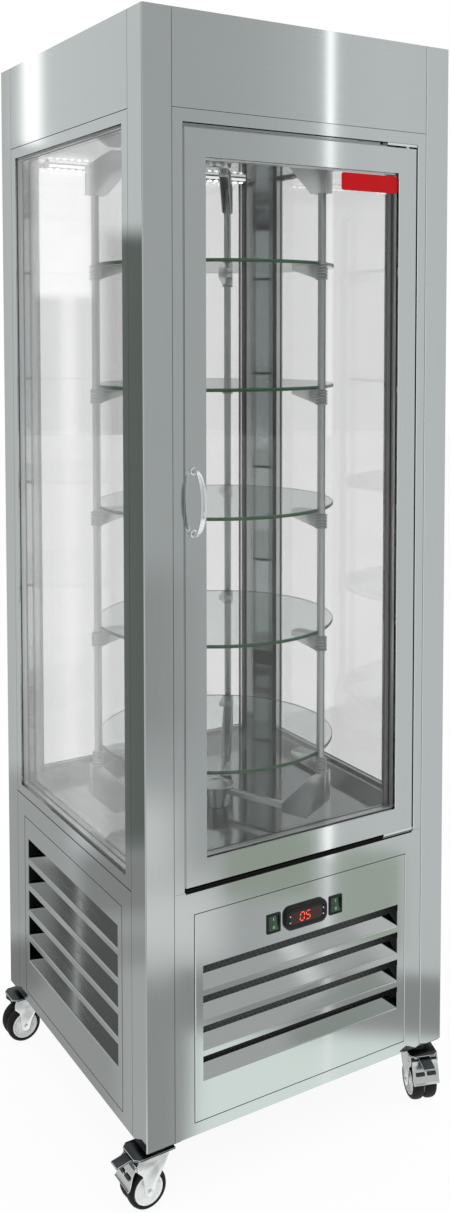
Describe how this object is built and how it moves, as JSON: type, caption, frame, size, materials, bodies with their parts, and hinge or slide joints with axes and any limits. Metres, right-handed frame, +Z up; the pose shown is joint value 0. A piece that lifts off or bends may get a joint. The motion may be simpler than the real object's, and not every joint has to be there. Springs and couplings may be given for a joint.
{
  "type": "refrigerated display case",
  "caption": "Tall square glass display case, chilled, with a hinged front door, revolving round glass shelves, louvred machine bay and swivel casters.",
  "frame": {"origin": "centre of the footprint of the whole box, on the floor under the wheels", "axes": "+Z up, the door faces -Y, its hinges are towards +X and its handle towards -X"},
  "size_m": [0.642, 0.6554, 1.884],
  "materials": {
    "brushed_steel": "vertical brushed stainless sheet",
    "satin_steel": "satin stainless sheet",
    "polished_steel": "polished stainless rod and folded sheet",
    "chrome": "bright chrome plate",
    "zinc": "bright zinc plate",
    "aluminium": "mill finish",
    "clear_glass": "clear double glazing",
    "shelf_glass": "clear float glass, green at the edge",
    "rubber": "black soft rubber",
    "tyre": "black tread on light grey hubs",
    "black_plastic": "black moulded plastic",
    "green_plastic": "clear green lens on black",
    "black_enamel": "black stove enamel",
    "lamp_white": "white diffuser"
  },
  "bodies": {
    "cabinet": {"machine_bay": "satin_steel", "corner_post_front_left": "brushed_steel", "corner_post_front_right": "brushed_steel", "corner_post_back_left": "brushed_steel", "corner_post_back_right": "brushed_steel", "roof_panel": "satin_steel", "header_front": "brushed_steel", "header_left": "brushed_steel", "header_right": "brushed_steel", "header_back": "brushed_steel", "ceiling_liner": "satin_steel", "lamp_bar": "lamp_white", "chamber_floor": "satin_steel", "window_frame_left": "brushed_steel", "window_frame_right": "brushed_steel", "window_frame_back": "brushed_steel", "glass_unit_left": "clear_glass", "glass_unit_right": "clear_glass", "glass_unit_back": "clear_glass", "door_surround": "brushed_steel", "front_panel": "brushed_steel", "left_panel": "brushed_steel", "right_panel": "brushed_steel", "back_panel": "brushed_steel", "controller": "black_plastic", "compressor": "black_enamel", "condenser": "aluminium", "fan_shroud": "black_enamel", "gear_motor": "aluminium", "evaporator": "aluminium", "hinge_plate_top": "polished_steel", "hinge_plate_bottom": "polished_steel"},
    "door": {"door_frame": "brushed_steel", "door_glass": "clear_glass", "door_gasket": "rubber", "door_handle": "chrome"},
    "carousel": {"top_spider": "polished_steel", "bottom_spider": "polished_steel", "carousel_rod_1": "polished_steel", "carousel_rod_2": "polished_steel", "carousel_rod_3": "polished_steel", "shelf_1": "shelf_glass", "shelf_2": "shelf_glass", "shelf_3": "shelf_glass", "shelf_4": "shelf_glass", "shelf_5": "shelf_glass"},
    "left_switch": {"rocker_switch_left": "green_plastic"},
    "right_switch": {"rocker_switch_right": "green_plastic"},
    "condenser_fan_rotor": {"condenser_fan": "black_plastic"},
    "evaporator_fan_rotor": {"evaporator_fan": "black_plastic"},
    "fork_front_left": {"caster_fork_front_left": "zinc"},
    "wheel_front_left": {"caster_wheel_front_left": "tyre"},
    "fork_front_right": {"caster_fork_front_right": "zinc"},
    "wheel_front_right": {"caster_wheel_front_right": "tyre"},
    "fork_back_left": {"caster_fork_back_left": "zinc"},
    "wheel_back_left": {"caster_wheel_back_left": "tyre"},
    "fork_back_right": {"caster_fork_back_right": "zinc"},
    "wheel_back_right": {"caster_wheel_back_right": "tyre"},
    "pedal_front_left": {"brake_pedal_front_left": "zinc"},
    "pedal_front_right": {"brake_pedal_front_right": "zinc"}
  },
  "joints": [
    {"name": "door_hinge", "type": "hinge", "parent": "cabinet", "child": "door", "pos_m": [0.2352, -0.27808, 1.1079], "axis": [0, 0, 1], "range_deg": [0, 110]},
    {"name": "carousel_spin", "type": "hinge", "parent": "cabinet", "child": "carousel", "pos_m": [0.021, 0.01392, 1.1], "axis": [0, 0, 1], "continuous": true},
    {"name": "left_switch_rock", "type": "hinge", "parent": "cabinet", "child": "left_switch", "pos_m": [-0.043, -0.28548, 0.4115], "axis": [1, 0, 0], "range_deg": [0, 12]},
    {"name": "right_switch_rock", "type": "hinge", "parent": "cabinet", "child": "right_switch", "pos_m": [0.083, -0.28548, 0.4115], "axis": [1, 0, 0], "range_deg": [0, 12]},
    {"name": "condenser_fan_spin", "type": "hinge", "parent": "cabinet", "child": "condenser_fan_rotor", "pos_m": [0.021, -0.16608, 0.2359], "axis": [0, 1, 0], "continuous": true},
    {"name": "evaporator_fan_spin", "type": "hinge", "parent": "cabinet", "child": "evaporator_fan_rotor", "pos_m": [0.021, 0.17892, 1.74], "axis": [0, 0, 1], "continuous": true},
    {"name": "front_left_caster_swivel", "type": "hinge", "parent": "cabinet", "child": "fork_front_left", "pos_m": [-0.246, -0.25308, 0.092], "axis": [0, 0, 1], "continuous": true},
    {"name": "front_left_wheel_roll", "type": "hinge", "parent": "fork_front_left", "child": "wheel_front_left", "pos_m": [-0.27, -0.25308, 0.033], "axis": [0, 1, 0], "continuous": true},
    {"name": "front_right_caster_swivel", "type": "hinge", "parent": "cabinet", "child": "fork_front_right", "pos_m": [0.288, -0.25308, 0.092], "axis": [0, 0, 1], "continuous": true},
    {"name": "front_right_wheel_roll", "type": "hinge", "parent": "fork_front_right", "child": "wheel_front_right", "pos_m": [0.28038, -0.27584, 0.033], "axis": [-0.9483, 0.3173, 0], "continuous": true},
    {"name": "back_left_caster_swivel", "type": "hinge", "parent": "cabinet", "child": "fork_back_left", "pos_m": [-0.246, 0.28092, 0.092], "axis": [0, 0, 1], "continuous": true},
    {"name": "back_left_wheel_roll", "type": "hinge", "parent": "fork_back_left", "child": "wheel_back_left", "pos_m": [-0.27, 0.28092, 0.033], "axis": [0, 1, 0], "continuous": true},
    {"name": "back_right_caster_swivel", "type": "hinge", "parent": "cabinet", "child": "fork_back_right", "pos_m": [0.288, 0.28092, 0.092], "axis": [0, 0, 1], "continuous": true},
    {"name": "back_right_wheel_roll", "type": "hinge", "parent": "fork_back_right", "child": "wheel_back_right", "pos_m": [0.26721, 0.29292, 0.033], "axis": [0.5, 0.866, 0], "continuous": true},
    {"name": "front_left_brake_press", "type": "hinge", "parent": "fork_front_left", "child": "pedal_front_left", "pos_m": [-0.285, -0.25308, 0.0735], "axis": [0, -1, 0], "range_deg": [0, 6]},
    {"name": "front_right_brake_press", "type": "hinge", "parent": "fork_front_right", "child": "pedal_front_right", "pos_m": [0.27563, -0.29006, 0.0735], "axis": [0.9483, -0.3173, 0], "range_deg": [0, 6]}
  ]
}
